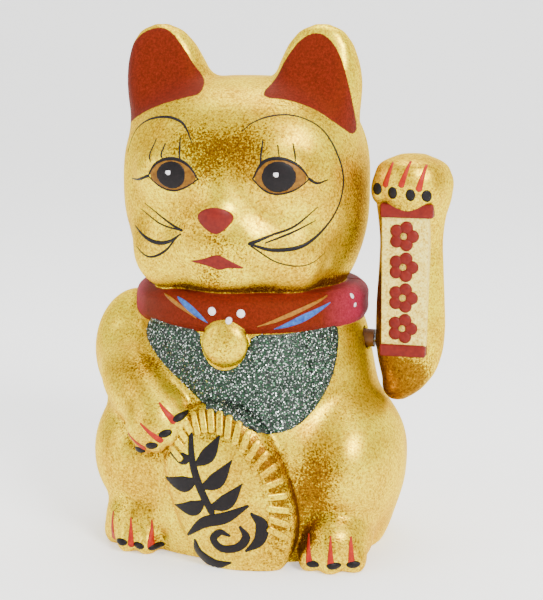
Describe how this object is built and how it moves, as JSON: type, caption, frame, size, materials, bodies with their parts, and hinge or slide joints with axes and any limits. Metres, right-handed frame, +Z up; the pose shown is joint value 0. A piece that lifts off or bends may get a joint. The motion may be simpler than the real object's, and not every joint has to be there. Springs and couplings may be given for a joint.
{
  "type": "beckoning cat figurine",
  "caption": "Hollow gold-painted seated cat with one raised forearm that swings fore and aft on a steel shaft, driven by a magnet pendulum over a coil, with a cell bay in its base.",
  "frame": {"origin": "middle of the flat underside, on the surface the figurine stands on", "axes": "+Z up, the cat faces -Y, the raised forearm is on the +X side"},
  "size_m": [0.1413, 0.1104, 0.2],
  "materials": {
    "gold_paint": "sprayed gold paint over moulded plastic, with painted details",
    "base_plastic": "fine-textured black plastic",
    "black_plastic": "smooth black plastic",
    "white_plastic": "natural white moulded plastic",
    "nylon": "natural nylon",
    "board": "green solder mask",
    "copper": "enamelled copper wire",
    "can": "sleeved aluminium can",
    "cell_jacket": "printed film jacket, steel ends",
    "spring_steel": "nickel-plated spring steel",
    "steel": "drawn steel",
    "weight_steel": "turned mild steel",
    "nickel": "nickel-plated magnet",
    "wire_red": "vinyl insulation",
    "wire_black": "vinyl insulation",
    "wire_blue": "vinyl insulation"
  },
  "bodies": {
    "housing": {"front_shell": "gold_paint", "rear_shell": "gold_paint", "base_plate": "base_plastic", "base_screws": "steel", "module_screws": "steel", "mechanism_frame": "white_plastic", "inner_bush": "nylon", "outer_bush": "nylon", "circuit_board": "board", "coil_bobbin": "white_plastic", "coil_winding": "copper", "transistor": "black_plastic", "capacitor": "can", "battery_box": "white_plastic", "battery": "cell_jacket", "positive_contact": "spring_steel", "negative_spring": "spring_steel", "negative_contact": "spring_steel", "switch_body": "black_plastic", "red_lead": "wire_red", "black_lead": "wire_black", "blue_lead": "wire_blue"},
    "arm": {"arm_front_shell": "gold_paint", "arm_back_shell": "gold_paint", "pivot_shaft": "steel", "shaft_clip": "spring_steel", "arm_spacer": "white_plastic", "pendulum_lever": "white_plastic", "lever_screw": "steel", "counterweight": "weight_steel", "magnet": "nickel"},
    "door": {"battery_door": "base_plastic"},
    "knob": {"switch_knob": "black_plastic"}
  },
  "joints": [
    {"name": "arm_swing", "type": "hinge", "parent": "housing", "child": "arm", "pos_m": [0.0625, 0, 0.08], "axis": [1, 0, 0], "range_deg": [-22, 22]},
    {"name": "battery_door_slide", "type": "slide", "parent": "housing", "child": "door", "axis": [0, 1, 0], "range_m": [0, 0.004]},
    {"name": "switch_slide", "type": "slide", "parent": "housing", "child": "knob", "axis": [0, 1, 0], "range_m": [0, 0.0022]}
  ]
}
